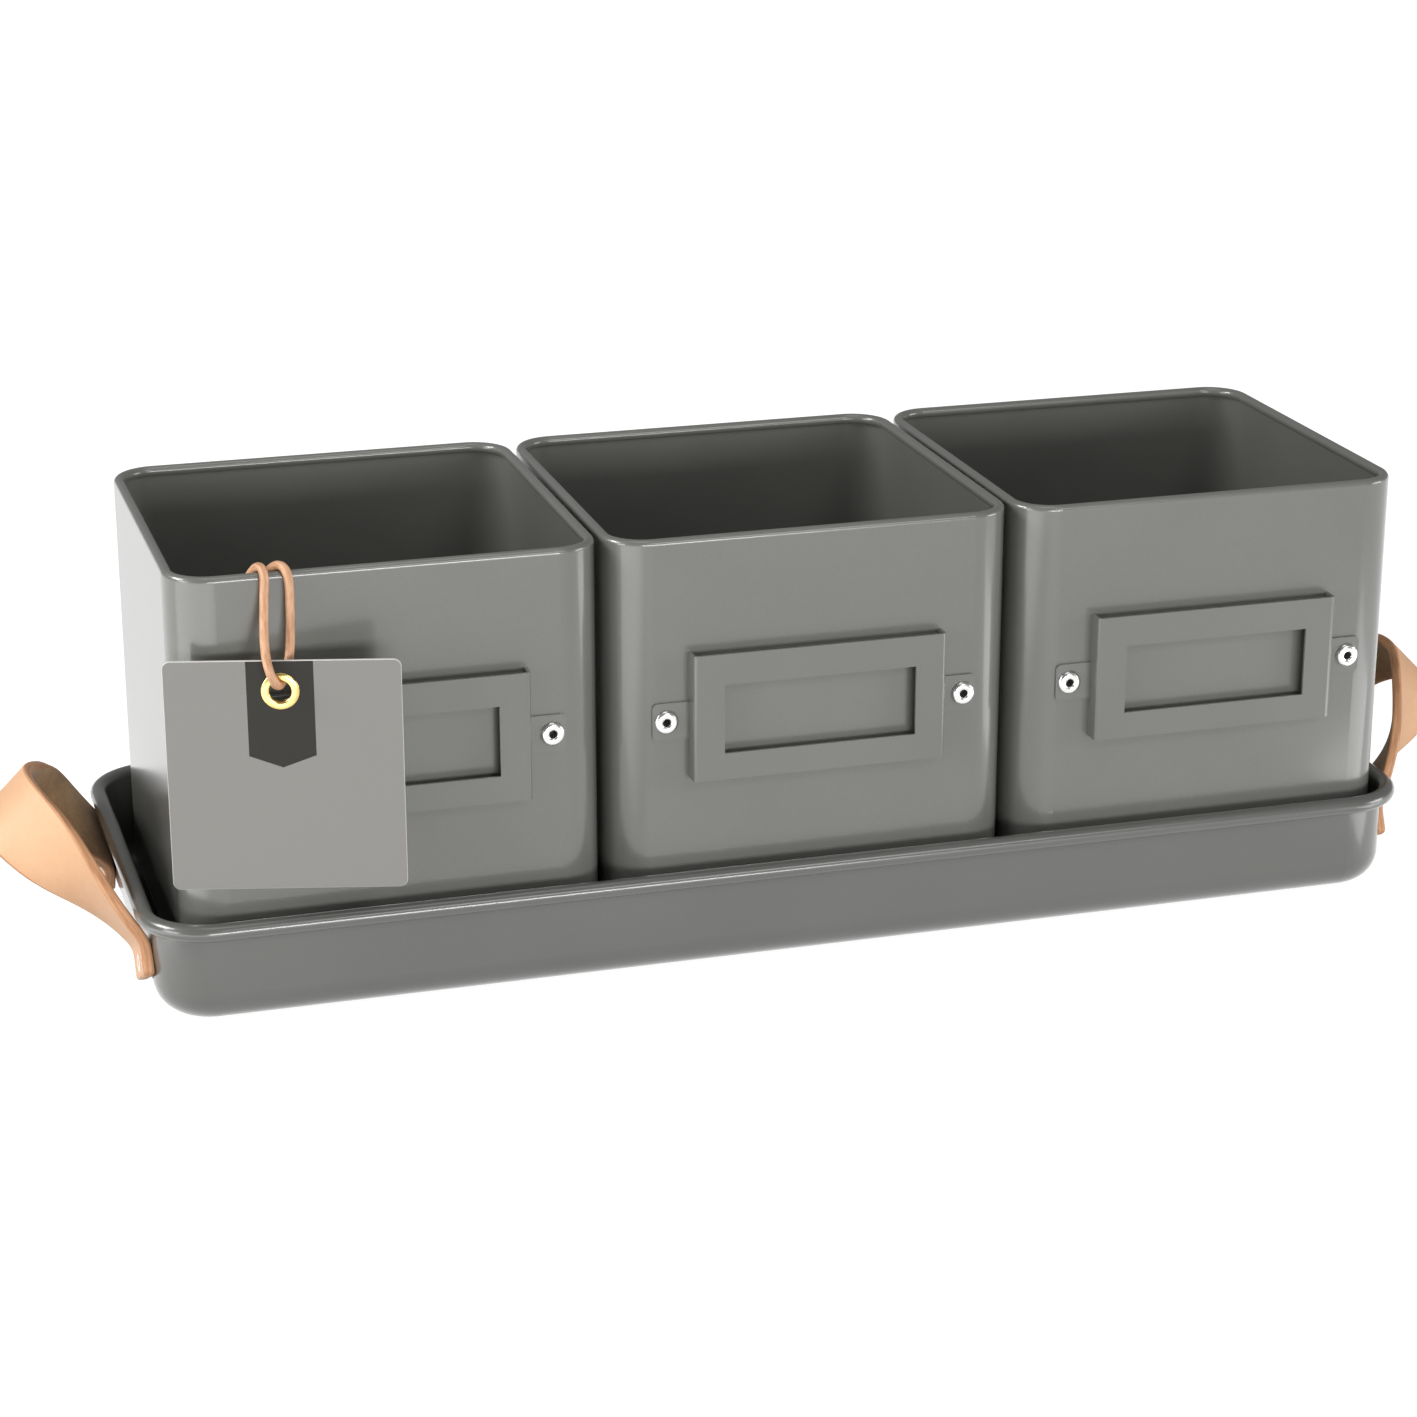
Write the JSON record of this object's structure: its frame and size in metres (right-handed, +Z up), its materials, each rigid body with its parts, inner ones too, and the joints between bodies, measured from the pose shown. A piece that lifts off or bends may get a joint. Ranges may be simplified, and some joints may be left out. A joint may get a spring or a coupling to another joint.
{
  "type": "indoor herb planter",
  "caption": "Square painted-steel herb pots standing in a row in a shallow rolled-rim tray with leather strap handles, riveted label holders and a corded hang tag.",
  "frame": {"origin": "middle of the tray's underside, on the surface that it stands on", "axes": "+X along the row of pots, +Y to the back, +Z up"},
  "size_m": [0.4392, 0.1428, 0.1257],
  "materials": {
    "grey_paint": "semi-gloss grey powder coat",
    "rivet_metal": "bright nickel plate",
    "strap_leather": "natural tan, burnished edges",
    "tag_card": "matt grey board with a dark printed band",
    "eyelet_brass": "polished",
    "cord_leather": "round tan lace"
  },
  "bodies": {
    "tray": {"tray_pan": "grey_paint", "handle_left_ends": "strap_leather", "handle_left_bends": "strap_leather", "handle_left_rivets": "rivet_metal", "handle_right_ends": "strap_leather", "handle_right_bends": "strap_leather", "handle_right_rivets": "rivet_metal"},
    "handle_left": {"handle_left_grip": "strap_leather"},
    "handle_right": {"handle_right_grip": "strap_leather"},
    "pot_left": {"pot_left_body": "grey_paint", "pot_left_base": "grey_paint", "pot_left_label_holder": "grey_paint", "pot_left_label_rivets": "rivet_metal", "tag_cord_knot": "cord_leather"},
    "label_left": {"pot_left_label_plate": "grey_paint"},
    "pot_middle": {"pot_middle_body": "grey_paint", "pot_middle_base": "grey_paint", "pot_middle_label_holder": "grey_paint", "pot_middle_label_rivets": "rivet_metal"},
    "label_middle": {"pot_middle_label_plate": "grey_paint"},
    "pot_right": {"pot_right_body": "grey_paint", "pot_right_base": "grey_paint", "pot_right_label_holder": "grey_paint", "pot_right_label_rivets": "rivet_metal"},
    "label_right": {"pot_right_label_plate": "grey_paint"},
    "tag": {"tag_card": "tag_card", "tag_eyelet": "eyelet_brass", "tag_cord": "cord_leather"}
  },
  "joints": [
    {"name": "handle_left_swing", "type": "hinge", "parent": "tray", "child": "handle_left", "pos_m": [-0.1809, 0, 0.0276], "axis": [0, 1, 0], "range_deg": [-25, 40], "stiffness_Nm_per_rad": 0.2, "deforming": ["handle_left_bends"]},
    {"name": "handle_right_swing", "type": "hinge", "parent": "tray", "child": "handle_right", "pos_m": [0.1809, 0, 0.0276], "axis": [0, -1, 0], "range_deg": [-25, 40], "stiffness_Nm_per_rad": 0.2, "deforming": ["handle_right_bends"]},
    {"name": "pot_left_lift", "type": "slide", "parent": "tray", "child": "pot_left", "axis": [0, 0, 1], "range_m": [0, 0.035]},
    {"name": "label_left_slide", "type": "slide", "parent": "pot_left", "child": "label_left", "axis": [0, 0, 1], "range_m": [0, 0.024]},
    {"name": "pot_middle_lift", "type": "slide", "parent": "tray", "child": "pot_middle", "axis": [0, 0, 1], "range_m": [0, 0.035]},
    {"name": "label_middle_slide", "type": "slide", "parent": "pot_middle", "child": "label_middle", "axis": [0, 0, 1], "range_m": [0, 0.034]},
    {"name": "pot_right_lift", "type": "slide", "parent": "tray", "child": "pot_right", "axis": [0, 0, 1], "range_m": [0, 0.035]},
    {"name": "label_right_slide", "type": "slide", "parent": "pot_right", "child": "label_right", "axis": [0, 0, 1], "range_m": [0, 0.034]},
    {"name": "tag_swing", "type": "hinge", "parent": "pot_left", "child": "tag", "pos_m": [-0.1444, -0.056, 0.1208], "axis": [-1, 0, 0], "range_deg": [0, 65], "deforming": ["tag_cord"]}
  ]
}
